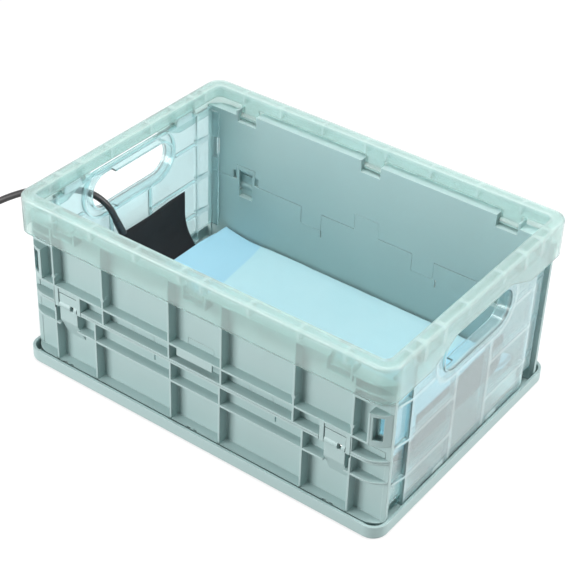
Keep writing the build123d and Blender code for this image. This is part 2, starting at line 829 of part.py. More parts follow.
def fillet_radii(points):
    """Radius at each inner point of a route, as large as its shorter run allows."""
    radii = []
    for before, here, after in zip(points, points[1:], points[2:]):
        run_in = Vector(*here) - Vector(*before)
        run_out = Vector(*after) - Vector(*here)
        turn = math.radians(run_in.get_angle(run_out))
        radii.append(cord_fillet_share * min(run_in.length, run_out.length) / math.tan(turn / 2))
    return radii


def supply_cord():
    radii = fillet_radii(cord_route)
    print("cord radii", [round(radius) for radius in radii])
    with BuildPart() as cord:
        with BuildLine() as route:
            FilletPolyline(*cord_route, radius=radii)
        path = route.wire()
        with BuildSketch(Plane(origin=path @ 0, z_dir=path % 0)):
            Circle(cord_radius)
        sweep(path=path)
    section = math.pi * cord_radius**2
    ratio = cord.part.volume / (section * path.length)
    print("cord length", round(path.length, 1), "volume ratio", round(ratio, 4))
    cord.part.label = "supply_cord"
    export_step(cord.part, "parts/supply_cord.step")


def coil_point(half_turns):
    """Middle line of the coil: in on the lower layer, a climb in one half turn, out on the upper layer."""
    layer_halves = 2 * coil_turns_per_layer
    climb = min(max(half_turns - layer_halves, 0.0), 1.0)
    inward = min(half_turns, layer_halves) - max(half_turns - layer_halves - 1.0, 0.0)
    radius = coil_outer_radius - coil_pitch / 2 * inward
    angle = -math.pi / 2 - math.pi * half_turns
    start = cord_route[-1]
    rise = climb * climb * (3 - 2 * climb)
    return Vector(
        start[0] - coil_start_run + radius * math.cos(angle),
        start[1] + coil_outer_radius + radius * math.sin(angle),
        start[2] + coil_pitch * rise,
    )


def coil_tangent(half_turns):
    step = 1e-4
    return (coil_point(half_turns + step) - coil_point(half_turns - step)).normalized()


def biarc(start, start_way, finish, finish_way):
    """Two tangent arcs that join two points in two given directions."""
    span = finish - start
    ways = start_way + finish_way
    spread = 2 * (1 - start_way.dot(finish_way))
    along = span.dot(ways)
    reach = (math.sqrt(along * along + spread * span.dot(span)) - along) / spread
    first = start + start_way * reach
    second = finish - finish_way * reach
    joint = (first + second) * 0.5
    TangentArc(start, joint, tangent=start_way)
    TangentArc(joint, finish, tangent=second - first)


def coil_line():
    """Quarter turns of the coil with a short straight run at each end."""
    quarters = [number / 2 for number in range(coil_quarter_turns + 1)]
    points = [coil_point(quarter) for quarter in quarters]
    ways = [coil_tangent(quarter) for quarter in quarters]
    ways[0] = Vector(-1, 0, 0)
    ways[-1] = Vector(ways[-1].X, ways[-1].Y, 0).normalized()
    Line(points[0] - ways[0] * coil_start_run, points[0])
    for number in range(len(points) - 1):
        biarc(points[number], ways[number], points[number + 1], ways[number + 1])
    finish = points[-1] + ways[-1] * coil_tail_run
    Line(points[-1], finish)
    return finish, ways[-1]


def least_gap(line, samples=900):
    """Smallest space between turns of one tube, from points along its middle line."""
    points = [line.position_at(number / samples) for number in range(samples + 1)]
    skip = int(samples * 8 * cord_radius / line.length)
    nearest = min(
        (points[one] - points[two]).length
        for one in range(0, samples, 2)
        for two in range(one + skip, samples + 1)
    )
    return nearest - 2 * cord_radius


def cord_coil():
    with BuildPart() as coil:
        with BuildLine() as turns:
            finish, way = coil_line()
        path = turns.wire()
        with BuildSketch(Plane(origin=path @ 0, z_dir=path % 0)):
            Circle(cord_radius)
        sweep(path=path)
    section = math.pi * cord_radius**2
    ratio = coil.part.volume / (section * path.length)
    print("coil length", round(path.length, 1), "volume ratio", round(ratio, 4))
    print("coil least gap", round(least_gap(path), 2))
    coil.part.label = "cord_coil"
    export_step(coil.part, "parts/cord_coil.step")
    return finish, way


def coil_tie():
    start = cord_route[-1]
    centre_x = start[0] - coil_start_run
    centre_y = start[1] + coil_outer_radius
    inner = coil_outer_radius - coil_pitch * coil_turns_per_layer - cord_radius - tie_slack
    outer = coil_outer_radius + cord_radius + tie_gap
    low = start[2] - cord_radius - tie_gap
    high = start[2] + coil_pitch + cord_radius + tie_gap
    with BuildPart() as tie:
        with BuildSketch(Plane.XZ.offset(-(centre_y + tie_width / 2))) as loop:
            with Locations((centre_x - (inner + outer) / 2, (low + high) / 2)):
                RectangleRounded(outer - inner + 2 * tie_thickness, high - low + 2 * tie_thickness, 3.0)
                RectangleRounded(outer - inner, high - low, 2.0, mode=Mode.SUBTRACT)
        extrude(amount=tie_width)
    tie.part.label = "coil_tie"
    export_step(tie.part, "parts/coil_tie.step")


def plug(start, way):
    """Two-pin plug at the end of the coil, lying on the floor."""
    face = Plane(origin=start, x_dir=(0, 0, 1), z_dir=way)
    with BuildPart() as body:
        with BuildSketch(face):
            Circle(plug_neck_radius - 1.4)
        with BuildSketch(face.offset(plug_neck_length)):
            Circle(plug_neck_radius)
        loft()
        with BuildSketch(face.offset(plug_neck_length)):
            RectangleRounded(plug_height, plug_width, plug_corner)
        extrude(amount=plug_length)
        fillet(body.faces().sort_by(Axis((0, 0, 0), tuple(way)))[-1].edges(), 2.0)
    body.part.label = "plug_body"
    export_step(body.part, "parts/plug_body.step")
    with BuildPart() as pins:
        with BuildSketch(face.offset(plug_neck_length + plug_length)):
            with Locations((0, -plug_pin_spacing / 2), (0, plug_pin_spacing / 2)):
                Circle(plug_pin_radius)
        extrude(amount=plug_pin_length)
        fillet(pins.faces().sort_by(Axis((0, 0, 0), tuple(way)))[-1].edges(), 1.0)
    pins.part.label = "plug_pins"
    export_step(pins.part, "parts/plug_pins.step")


for side_sign, side_name in ((-1, "front"), (1, "back")):
    lower_wall(side_sign, f"{side_name}_lower_wall")
    upper_wall(side_sign, f"{side_name}_upper_wall")
    wall_pins(side_sign, mid_hinge_places, mid_axis, parting_outside, ear_end, f"{side_name}_mid_hinge_pins")
    wall_pins(side_sign, hinge_places, base_axis, base_axis_z, ear_end, f"{side_name}_base_hinge_pins")
    wall_pins(
        side_sign,
        hinge_places,
        rim_axis,
        rim_axis_z,
        notch_half_width + rib_thickness,
        f"{side_name}_rim_hinge_pins",
    )
base_tray()
top_rim()
for end_sign, end_name in ((-1, "left"), (1, "right")):
    end_panel(end_sign, f"{end_name}_end_panel")
    end_pins(end_sign, f"{end_name}_end_hinge_pins")
heating_pad()
heating_element()
absorbent_liner()
strain_relief()
supply_cord()
coil_end, coil_way = cord_coil()
coil_tie()
plug(coil_end, coil_way)
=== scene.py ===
import math

import bmesh
import bpy
from mathutils import Matrix, Vector, noise


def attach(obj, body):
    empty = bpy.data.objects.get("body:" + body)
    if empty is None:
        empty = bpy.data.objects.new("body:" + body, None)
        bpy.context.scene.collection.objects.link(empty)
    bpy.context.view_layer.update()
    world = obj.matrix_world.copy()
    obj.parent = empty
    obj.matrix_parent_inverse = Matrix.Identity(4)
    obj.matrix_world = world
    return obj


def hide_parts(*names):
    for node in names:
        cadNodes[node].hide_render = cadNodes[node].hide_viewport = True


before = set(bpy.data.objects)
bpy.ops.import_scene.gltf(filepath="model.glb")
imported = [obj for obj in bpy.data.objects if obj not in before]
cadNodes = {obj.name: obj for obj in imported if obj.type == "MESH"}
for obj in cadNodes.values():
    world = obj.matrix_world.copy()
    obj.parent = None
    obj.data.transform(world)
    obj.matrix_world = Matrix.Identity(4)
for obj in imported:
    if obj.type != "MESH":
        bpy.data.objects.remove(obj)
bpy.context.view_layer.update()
print("frame loaded:", len(cadNodes), "nodes")


def toLinear(hexColour):
    channels = [int(hexColour[i:i + 2], 16) / 255 for i in (1, 3, 5)]
    return [c / 12.92 if c <= 0.04045 else ((c + 0.055) / 1.055) ** 2.4 for c in channels] + [1.0]


# one node with its settings, fixed inputs and links; a colour mix has its share at 0, its colours at 6 and 7
def addNode(tree, kind, settings=None, values=None, links=None):
    node = tree.nodes.new(kind)
    for key, value in (settings or {}).items():
        setattr(node, key, value)
    for key, value in (values or {}).items():
        node.inputs[key].default_value = value
    for key, source in (links or {}).items():
        tree.links.new(source, node.inputs[key])
    return node


def newMaterial(name):
    material = bpy.data.materials.new(name)
    material.use_nodes = True
    material.node_tree.nodes.clear()
    return material, material.node_tree


def finishMaterial(tree, shader):
    addNode(tree, "ShaderNodeOutputMaterial", links={"Surface": shader.outputs[0]})


# camera at the photo's viewing angle, metres and degrees; lens and sensor in millimetres
cameraView = {
    "place": (0.71372, -1.00994, 0.99074),
    "azimuth": 35.315,
    "elevation": 35.803,
    "roll": 2.29,
    "lens": 96.95,
    "sensor": 36,
}


def makeCamera(view):
    azimuth, elevation, roll = (math.radians(view[k]) for k in ("azimuth", "elevation", "roll"))
    back = Vector((math.sin(azimuth) * math.cos(elevation), -math.cos(azimuth) * math.cos(elevation),
                   math.sin(elevation)))
    right = Vector((math.cos(azimuth), math.sin(azimuth), 0))
    up = back.cross(right)
    turnedRight = right * math.cos(roll) + up * math.sin(roll)
    turnedUp = up * math.cos(roll) - right * math.sin(roll)
    data = bpy.data.cameras.new("photoCamera")
    data.lens = view["lens"]
    data.sensor_width = view["sensor"]
    camera = bpy.data.objects.new("photoCamera", data)
    bpy.context.collection.objects.link(camera)
    turn = Matrix((turnedRight, turnedUp, back)).transposed()
    camera.matrix_world = Matrix.Translation(view["place"]) @ turn.to_4x4()
    bpy.context.scene.camera = camera


makeCamera(cameraView)

# soft studio: a dim white room, a broad low lamp from the front left, one overhead
# and one behind the right end
studio = {
    "roomStrength": 0.16,
    "lamps": [
        {"name": "frontLamp", "place": (-1.05, -1.95, 0.60), "size": 1.3, "power": 46.0},
        {"name": "topLamp", "place": (0.08, -0.12, 1.6), "size": 0.9, "power": 22.0},
        {"name": "sideLamp", "place": (1.8, 0.7, 0.9), "size": 1.0, "power": 36.0},
    ],
    "lampAim": (0, 0, 0.1),
    "floorHalf": 6.0,
    "floorLevel": -0.0004,
    "floorGlow": 0.78,
    "floorColour": "#8f8f8f",
}


# 1 for a ray that sees the room straight, in a reflection or through clear plastic
def seenRay(tree):
    path = addNode(tree, "ShaderNodeLightPath")
    straight = addNode(tree, "ShaderNodeMath", {"operation": "MAXIMUM"},
                       links={0: path.outputs["Is Camera Ray"], 1: path.outputs["Is Transmission Ray"]})
    seen = addNode(tree, "ShaderNodeMath", {"operation": "MAXIMUM"},
                   links={0: straight.outputs[0], 1: path.outputs["Is Glossy Ray"]})
    return seen.outputs[0]


# the room looks white, and lights the crate only dimly
def makeRoom(values):
    world = bpy.data.worlds.new("whiteRoom")
    bpy.context.scene.world = world
    world.use_nodes = True
    tree = world.node_tree
    tree.nodes.clear()
    room = addNode(tree, "ShaderNodeBackground",
                   values={"Color": (1, 1, 1, 1), "Strength": values["roomStrength"]})
    white = addNode(tree, "ShaderNodeBackground", values={"Color": (1, 1, 1, 1), "Strength": 1.0})
    mixed = addNode(tree, "ShaderNodeMixShader",
                    links={0: seenRay(tree), 1: room.outputs[0], 2: white.outputs[0]})
    addNode(tree, "ShaderNodeOutputWorld", links={"Surface": mixed.outputs[0]})


def makeLamps(values):
    for lampValues in values["lamps"]:
        data = bpy.data.lights.new(lampValues["name"], "AREA")
        data.shape = "SQUARE"
        data.size = lampValues["size"]
        data.energy = lampValues["power"]
        lamp = bpy.data.objects.new(lampValues["name"], data)
        bpy.context.collection.objects.link(lamp)
        place = Vector(lampValues["place"])
        lamp.location = place
        lamp.rotation_euler = (Vector(values["lampAim"]) - place).to_track_quat("-Z", "Y").to_euler()


# the floor glows white to the eye and keeps the crate's shadow
def makeFloor(values):
    half, level = values["floorHalf"], values["floorLevel"]
    mesh = bpy.data.meshes.new("floor")
    corners = [(-half, -half, level), (half, -half, level), (half, half, level), (-half, half, level)]
    mesh.from_pydata(corners, [], [(0, 1, 2, 3)])
    floor = bpy.data.objects.new("floor", mesh)
    bpy.context.collection.objects.link(floor)
    material, tree = newMaterial("whiteFloor")
    glow = addNode(tree, "ShaderNodeEmission",
                   values={"Color": (1, 1, 1, 1), "Strength": values["floorGlow"]})
    dark = addNode(tree, "ShaderNodeBsdfDiffuse", values={"Color": toLinear(values["floorColour"])})
    shaded = addNode(tree, "ShaderNodeAddShader", links={0: glow.outputs[0], 1: dark.outputs[0]})
    mixed = addNode(tree, "ShaderNodeMixShader",
                    links={0: seenRay(tree), 1: dark.outputs[0], 2: shaded.outputs[0]})
    finishMaterial(tree, mixed)
    floor.data.materials.append(material)


makeRoom(studio)
makeLamps(studio)
makeFloor(studio)
scene = bpy.context.scene
scene.view_settings.view_transform = "Standard"
print("camera and studio ready")

# crate wall: injection-moulded polypropylene, opaque; satin, faint colour drift, and a painted highlight that
# makes its rounded edges paler
wallPlastic = {
    "body": "#a6bfbe", "drift": "#adc4c3", "driftSize": 0.09, "roughness": (0.37, 0.48),
    "edge": "#d0e2e1", "edgeRadius": 0.0009,
    "paintedHighlightStart": 0.995, "paintedHighlightFull": 0.8, "paintedHighlightShare": 0.75,  # cosines of the rounded edge's lean, and the strongest share of the painted edge highlight
    "grain": 0.0012,  # spark texture, drawn at 1.2 mm so that it shows
}


def mouldedPolypropylene(values):
    material, tree = newMaterial("mouldedPolypropylene")
    place = addNode(tree, "ShaderNodeTexCoord").outputs["Object"]
    drift = addNode(tree, "ShaderNodeTexNoise", values={"Scale": 1 / values["driftSize"], "Detail": 2.0},
                    links={"Vector": place})
    body = addNode(tree, "ShaderNodeMix", {"data_type": "RGBA"},
                   {6: toLinear(values["body"]), 7: toLinear(values["drift"])}, {0: drift.outputs[0]})
    rounded = addNode(tree, "ShaderNodeBevel", {"samples": 6}, {"Radius": values["edgeRadius"]})
    shape = addNode(tree, "ShaderNodeNewGeometry")
    along = addNode(tree, "ShaderNodeVectorMath", {"operation": "DOT_PRODUCT"},
                    links={0: rounded.outputs[0], 1: shape.outputs["Normal"]})
    # painted highlight: where the bevelled normal leans away from the face, the body colour turns toward the
    # pale edge colour, in place of light caught on rounded edges
    paintedHighlightShare = addNode(tree, "ShaderNodeMapRange",
                  values={"From Min": values["paintedHighlightStart"], "From Max": values["paintedHighlightFull"],
                          "To Max": values["paintedHighlightShare"]},
                  links={"Value": along.outputs["Value"]})
    colour = addNode(tree, "ShaderNodeMix", {"data_type": "RGBA"}, {7: toLinear(values["edge"])},
                     {0: paintedHighlightShare.outputs[0], 6: body.outputs[2]})
    grain = addNode(tree, "ShaderNodeTexNoise", values={"Scale": 1 / values["grain"], "Detail": 3.0},
                    links={"Vector": place})
    bump = addNode(tree, "ShaderNodeBump", values={"Strength": 0.08, "Distance": 0.0002},
                   links={"Height": grain.outputs[0], "Normal": rounded.outputs[0]})
    smoothest, roughest = values["roughness"]
    shine = addNode(tree, "ShaderNodeMapRange", values={"To Min": smoothest, "To Max": roughest},
                    links={"Value": drift.outputs[0]})
    shader = addNode(tree, "ShaderNodeBsdfPrincipled", values={"IOR": 1.49},
                     links={"Base Color": colour.outputs[2], "Roughness": shine.outputs[0],
                            "Normal": bump.outputs[0]})
    finishMaterial(tree, shader)
    return material


# clarified polypropylene: see-through with a milky veil, glossy skin, aqua and milkier where it is thick
rimPlastic = {
    "name": "milkyPolypropylene", "body": "#dbebe8", "deep": "#d0e5e1", "flowMark": 0.05,
    "through": 0.76, "thickThrough": 0.52, "depth": 0.0045, "thinShare": 0.32, "thickShare": 0.46,
    "absorb": (0.32, 0.78, 0.77, 1), "density": 38.0,
    "roughness": (0.16, 0.25), "coat": 0.5, "edgeRadius": 0.0008,
}
panelPlastic = {
    "name": "clearPolypropylene", "body": "#dceff0", "deep": "#d2e8ea", "flowMark": 0.05,
    "through": 0.79, "thickThrough": 0.32, "depth": 0.0045, "thinShare": 0.32, "thickShare": 0.46,
    "absorb": (0.24, 0.82, 0.84, 1), "density": 36.0,
    "roughness": (0.02, 0.11), "coat": 0.6, "edgeRadius": 0.0005,
}


def clarifiedPolypropylene(values):
    material, tree = newMaterial(values["name"])
    place = addNode(tree, "ShaderNodeTexCoord").outputs["Object"]
    flow = addNode(tree, "ShaderNodeTexNoise", values={"Scale": 1 / values["flowMark"], "Detail": 2.0},
                   links={"Vector": place})
    colour = addNode(tree, "ShaderNodeMix", {"data_type": "RGBA"},
                     {6: toLinear(values["body"]), 7: toLinear(values["deep"])}, {0: flow.outputs[0]})
    rounded = addNode(tree, "ShaderNodeBevel", {"samples": 6}, {"Radius": values["edgeRadius"]})
    smoothest, roughest = values["roughness"]
    shine = addNode(tree, "ShaderNodeMapRange", values={"To Min": smoothest, "To Max": roughest},
                    links={"Value": flow.outputs[0]})
    shape = addNode(tree, "ShaderNodeNewGeometry")
    inward = addNode(tree, "ShaderNodeAmbientOcclusion", {"inside": True, "only_local": True, "samples": 8},
                     {"Distance": values["depth"]})
    veil = addNode(tree, "ShaderNodeMapRange",
                   values={"From Min": values["thinShare"], "From Max": values["thickShare"],
                           "To Min": values["through"], "To Max": values["thickThrough"]},
                   links={"Value": inward.outputs["AO"]})  # milkier over ribs and edges, where it is thick
    through = addNode(tree, "ShaderNodeMapRange",
                      links={"Value": shape.outputs["Backfacing"],
                             "To Min": veil.outputs[0]})  # the veil lies on the outer skin only
    shader = addNode(tree, "ShaderNodeBsdfPrincipled",
                     values={"IOR": 1.2, "Coat Weight": values["coat"], "Coat Roughness": 0.12},
                     links={"Base Color": colour.outputs[2], "Roughness": shine.outputs[0],
                            "Transmission Weight": through.outputs[0], "Normal": rounded.outputs[0]})
    inside = addNode(tree, "ShaderNodeVolumeAbsorption",
                     values={"Color": values["absorb"], "Density": values["density"]})
    addNode(tree, "ShaderNodeOutputMaterial",
            links={"Surface": shader.outputs[0], "Volume": inside.outputs[0]})
    return material


# drawn steel wire: plain grey metal, its polish uneven in fine specks
steelWire = {"body": "#8f9290", "speck": 0.0008, "roughness": (0.18, 0.34)}


def drawnSteel(values):
    material, tree = newMaterial("drawnSteel")
    place = addNode(tree, "ShaderNodeTexCoord").outputs["Object"]
    specks = addNode(tree, "ShaderNodeTexNoise", values={"Scale": 1 / values["speck"], "Detail": 2.0},
                     links={"Vector": place})
    smoothest, roughest = values["roughness"]
    shine = addNode(tree, "ShaderNodeMapRange", values={"To Min": smoothest, "To Max": roughest},
                    links={"Value": specks.outputs[0]})
    shader = addNode(tree, "ShaderNodeBsdfPrincipled",
                     values={"Base Color": toLinear(values["body"]), "Metallic": 1.0},
                     links={"Roughness": shine.outputs[0]})
    finishMaterial(tree, shader)
    return material


# soft PVC: black jacket with a dull gloss and fine scuffs
leadVinyl = {"body": "#1f1d1e", "scuffed": "#2c2a2b", "scuff": 0.004, "roughness": (0.34, 0.5)}


def softVinyl(values):
    material, tree = newMaterial("softVinyl")
    place = addNode(tree, "ShaderNodeTexCoord").outputs["Object"]
    scuff = addNode(tree, "ShaderNodeTexNoise", values={"Scale": 1 / values["scuff"], "Detail": 4.0},
                    links={"Vector": place})
    colour = addNode(tree, "ShaderNodeMix", {"data_type": "RGBA"},
                     {6: toLinear(values["body"]), 7: toLinear(values["scuffed"])}, {0: scuff.outputs[0]})
    smoothest, roughest = values["roughness"]
    shine = addNode(tree, "ShaderNodeMapRange", values={"To Min": smoothest, "To Max": roughest},
                    links={"Value": scuff.outputs[0]})
    bump = addNode(tree, "ShaderNodeBump", values={"Strength": 0.05, "Distance": 0.0001},
                   links={"Height": scuff.outputs[0]})
    shader = addNode(tree, "ShaderNodeBsdfPrincipled", values={"IOR": 1.53},
                     links={"Base Color": colour.outputs[2], "Roughness": shine.outputs[0],
                            "Normal": bump.outputs[0]})
    finishMaterial(tree, shader)
    return material


# polished brass: yellow metal, a little tarnished in patches
plugBrass = {"body": "#d9b866", "tarnished": "#c7a253", "patch": 0.006, "roughness": 0.22}


def polishedBrass(values):
    material, tree = newMaterial("polishedBrass")
    place = addNode(tree, "ShaderNodeTexCoord").outputs["Object"]
    tarnish = addNode(tree, "ShaderNodeTexNoise", values={"Scale": 1 / values["patch"], "Detail": 3.0},
                      links={"Vector": place})
    colour = addNode(tree, "ShaderNodeMix", {"data_type": "RGBA"},
                     {6: toLinear(values["body"]), 7: toLinear(values["tarnished"])},
                     {0: tarnish.outputs[0]})
    shader = addNode(tree, "ShaderNodeBsdfPrincipled",
                     values={"Metallic": 1.0, "Roughness": values["roughness"]},
                     links={"Base Color": colour.outputs[2]})
    finishMaterial(tree, shader)
    return material


# woven polyester cover: black and dull, a fine plain weave drawn at 1.6 mm so that it shows
padCloth = {"thread": "#212326", "gap": "#101113", "spacing": 0.0016, "cloud": 0.03, "weaveShare": 0.7}


def wovenPolyester(values):
    material, tree = newMaterial("wovenPolyester")
    place = addNode(tree, "ShaderNodeUVMap", {"uv_map": "weave"}).outputs[0]
    perMetre = math.pi / (10 * values["spacing"])  # at scale 1 the bands lie pi / 10 apart
    warp, weft = (
        addNode(tree, "ShaderNodeTexWave", {"wave_type": "BANDS", "bands_direction": direction},
                {"Scale": perMetre, "Distortion": 0.6, "Detail": 1.0}, {"Vector": place})
        for direction in ("X", "Y")
    )
    cloth = addNode(tree, "ShaderNodeMath", {"operation": "MULTIPLY"},
                    links={0: warp.outputs[1], 1: weft.outputs[1]})
    cloud = addNode(tree, "ShaderNodeTexNoise", values={"Scale": 1 / values["cloud"], "Detail": 4.0},
                    links={"Vector": place})
    height = addNode(tree, "ShaderNodeMath", {"operation": "MULTIPLY_ADD"}, {1: values["weaveShare"]},
                     {0: cloth.outputs[0], 2: cloud.outputs[0]})
    colour = addNode(tree, "ShaderNodeMix", {"data_type": "RGBA"},
                     {6: toLinear(values["gap"]), 7: toLinear(values["thread"])}, {0: height.outputs[0]})
    bump = addNode(tree, "ShaderNodeBump", values={"Strength": 0.35, "Distance": 0.0003},
                   links={"Height": cloth.outputs[0]})
    shader = addNode(tree, "ShaderNodeBsdfPrincipled",
                     values={"Roughness": 0.88, "Specular IOR Level": 0.25, "Sheen Weight": 0.03,
                             "Sheen Roughness": 0.5},
                     links={"Base Color": colour.outputs[2], "Normal": bump.outputs[0]})
    finishMaterial(tree, shader)
    return material


# absorbent sheet: embossed non-woven over a fluff core, with a plain blue film border at both ends
linerSheet = {
    "film": "#a0cee0", "core": "#add5dd", "coreLight": "#b8dbe2", "cloud": 0.04,
    "bandEdge": 0.1166, "bandSoft": 0.0015, "bandSlope": 0.123, "dot": 0.0042,
}


def nonWovenSheet(values):
    material, tree = newMaterial("nonWovenSheet")
    place = addNode(tree, "ShaderNodeTexCoord").outputs["Object"]
    parts = addNode(tree, "ShaderNodeSeparateXYZ", links={0: place})
    away = addNode(tree, "ShaderNodeMath", {"operation": "ABSOLUTE"}, links={0: parts.outputs[0]})
    skew = addNode(tree, "ShaderNodeMath", {"operation": "MULTIPLY_ADD"}, {1: -values["bandSlope"]},
                   {0: parts.outputs[1], 2: away.outputs[0]})  # the core lies a little askew
    band = addNode(tree, "ShaderNodeMapRange", {"interpolation_type": "SMOOTHSTEP"},
                   {"From Min": values["bandEdge"] - values["bandSoft"],
                    "From Max": values["bandEdge"] + values["bandSoft"]},
                   {"Value": skew.outputs[0]})
    cloud = addNode(tree, "ShaderNodeTexNoise", values={"Scale": 1 / values["cloud"], "Detail": 3.0},
                    links={"Vector": place})
    core = addNode(tree, "ShaderNodeMix", {"data_type": "RGBA"},
                   {6: toLinear(values["core"]), 7: toLinear(values["coreLight"])}, {0: cloud.outputs[0]})
    colour = addNode(tree, "ShaderNodeMix", {"data_type": "RGBA"}, {7: toLinear(values["film"])},
                     {0: band.outputs[0], 6: core.outputs[2]})
    dots = addNode(tree, "ShaderNodeTexVoronoi", {"feature": "F1"},
                   {"Scale": 1 / values["dot"], "Randomness": 0.15}, {"Vector": place})
    plain = addNode(tree, "ShaderNodeMath", {"operation": "SUBTRACT"}, {0: 1.0}, {1: band.outputs[0]})
    raised = addNode(tree, "ShaderNodeMath", {"operation": "MULTIPLY"},
                     links={0: dots.outputs[0], 1: plain.outputs[0]})
    bump = addNode(tree, "ShaderNodeBump", values={"Strength": 0.12, "Distance": 0.0004},
                   links={"Height": raised.outputs[0]})
    shader = addNode(tree, "ShaderNodeBsdfPrincipled",
                     values={"Roughness": 0.72, "Sheen Weight": 0.08, "IOR": 1.45},
                     links={"Base Color": colour.outputs[2], "Normal": bump.outputs[0]})
    finishMaterial(tree, shader)
    return material


wallFinish = mouldedPolypropylene(wallPlastic)
rimFinish = clarifiedPolypropylene(rimPlastic)
panelFinish = clarifiedPolypropylene(panelPlastic)
steelFinish = drawnSteel(steelWire)
vinylFinish = softVinyl(leadVinyl)
brassFinish = polishedBrass(plugBrass)
padFinish = wovenPolyester(padCloth)
linerFinish = nonWovenSheet(linerSheet)


def dress(nodeNames, material):
    for name in nodeNames:
        mesh = cadNodes[name].data
        mesh.materials.clear()
        mesh.materials.append(material)


dress([n for n in cadNodes if n.endswith("_wall") or n == "base_tray"], wallFinish)
dress([n for n in cadNodes if n.endswith("_pins") and n != "plug_pins"], steelFinish)
dress(["top_rim"], rimFinish)
dress(["left_end_panel", "right_end_panel"], panelFinish)
dress(["plug_pins"], brassFinish)
dress(["plug_body", "coil_tie", "strain_relief", "thermal_cutout", "heating_element"], vinylFinish)
print("CAD nodes dressed")


def newPiece(name, data, material, body, slotName, *replaced):
    piece = bpy.data.objects.new(name, data)
    bpy.context.collection.objects.link(piece)
    data.materials.append(material)
    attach(piece, body)
    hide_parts(*replaced)
    return piece


# 0 to 1, with a soft start and end
def smoothShare(value):
    share = min(max(value, 0), 1)
    return share * share * (3 - 2 * share)


# lead: route points in metres, then the coil from its formula
lead = {
    "diameter": 0.007,
    "length": 1.36,
    "route": [
        (-0.1965, -0.0336, 0.1135), (-0.1971, -0.0382, 0.1260), (-0.2016, -0.0432, 0.1374),
        (-0.2094, -0.0497, 0.1468), (-0.2190, -0.0588, 0.1528), (-0.2330, -0.0720, 0.1559),
        (-0.2530, -0.0870, 0.1542), (-0.2730, -0.1010, 0.1458), (-0.2920, -0.1145, 0.1334),
        (-0.3070, -0.1255, 0.1140), (-0.3175, -0.1335, 0.0890), (-0.3265, -0.1405, 0.0630),
        (-0.3365, -0.1480, 0.0390), (-0.3500, -0.1555, 0.0205), (-0.3675, -0.1610, 0.0095),
        (-0.3860, -0.1640, 0.0049), (-0.4020, -0.1640, 0.0049),
    ],
    "coilRadius": 0.047,
    "coilEase": 1.004,  # the spline runs a little inside its points
    "coilPitch": 0.0086,
    "layerHalfTurns": 4,
    "quarterTurns": 17,
    "pointsPerTurn": 24,
    "startRun": 0.007,
    "tailRun": 0.024,
    "tailShares": (0.34, 0.67, 1.0),
}


# the coil winds inward on the floor, climbs one layer in half a turn and winds outward again
def coilPoint(values, halfTurns):
    layer = values["layerHalfTurns"]
    inward = min(halfTurns, layer) - max(halfTurns - layer - 1, 0)
    radius = values["coilRadius"] * values["coilEase"] - values["coilPitch"] / 2 * inward
    angle = -math.pi / 2 - math.pi * halfTurns
    start = values["route"][-1]
    return Vector((start[0] - values["startRun"] + radius * math.cos(angle),
                   start[1] + values["coilRadius"] + radius * math.sin(angle),
                   start[2] + values["coilPitch"] * smoothShare(halfTurns - layer)))


def makeLead(values):
    step = 2 / values["pointsPerTurn"]
    count = round(values["quarterTurns"] / 2 / step)
    coil = [coilPoint(values, n * step) for n in range(count + 1)]
    way = coilPoint(values, count * step + 1e-4) - coilPoint(values, count * step - 1e-4)
    way = Vector((way.x, way.y, 0)).normalized()
    tail = [coil[-1] + way * values["tailRun"] * share for share in values["tailShares"]]
    points = [Vector(p) for p in values["route"]] + coil + tail
    curve = bpy.data.curves.new("supplyLead", "CURVE")
    curve.dimensions = "3D"
    curve.bevel_depth = values["diameter"] / 2
    curve.bevel_resolution = 6
    curve.resolution_u = 6
    spline = curve.splines.new("NURBS")
    spline.points.add(len(points) - 1)
    for point, place in zip(spline.points, points):
        point.co = (*place, 1)
    spline.order_u = 3
    spline.use_endpoint_u = True
    return newPiece("supplyLead", curve, vinylFinish, "crate", "cord_jacket", "supply_cord", "cord_coil")


supplyLead = makeLead(lead)
print("lead laid")


# middle line of the pad or liner, by length: down one end, round the bend, along the floor and up the other
def bentLine(values, distance):
    arc = values["bendRadius"] * values["bendAngle"]
    total = 2 * (values["rise"] + arc + values["flatHalf"])
    fromMiddle = distance - total / 2
    side = 1 if fromMiddle >= 0 else -1
    run = abs(fromMiddle)
    if run <= values["flatHalf"]:
        return Vector((side * run, 0, values["floor"])), Vector((0, 0, 1)), total
    centre = Vector((side * values["flatHalf"], 0, values["floor"] + values["bendRadius"]))
    turn = min((run - values["flatHalf"]) / values["bendRadius"], values["bendAngle"])
    inward = Vector((-side * math.sin(turn), 0, math.cos(turn)))
    place = centre - inward * values["bendRadius"]
    beyond = run - values["flatHalf"] - arc
    if beyond > 0:
        place += Vector((side * math.cos(turn), 0, math.sin(turn))) * beyond
    return place, inward, total


# smooth mesh over a grid of points; a closed one joins its last column to its first and has end caps
def gridMesh(name, rows, columns, place, closed):
    mesh = bpy.data.meshes.new(name)
    verts = [place(r, c) for r in range(rows) for c in range(columns)]
    faces = []
    for r in range(rows - 1):
        for c in range(columns if closed else columns - 1):
            n = (c + 1) % columns
            faces.append((r * columns + c, r * columns + n, (r + 1) * columns + n, (r + 1) * columns + c))
    if closed:
        faces.append(tuple(range(columns - 1, -1, -1)))
        faces.append(tuple((rows - 1) * columns + c for c in range(columns)))
    mesh.from_pydata(verts, [], faces)
    mesh.update()
    for polygon in mesh.polygons:
        polygon.use_smooth = True
    return mesh


def cleanNormals(mesh):
    work = bmesh.new()
    work.from_mesh(mesh)
    bmesh.ops.recalc_face_normals(work, faces=work.faces)
    work.to_mesh(mesh)
    work.free()


# slow unevenness of cloth: its size in metres, its waves per metre along and across
def unevenness(size, waves, along, across, layer):
    return size * noise.noise(Vector((along * waves[0], across * waves[1], layer)))


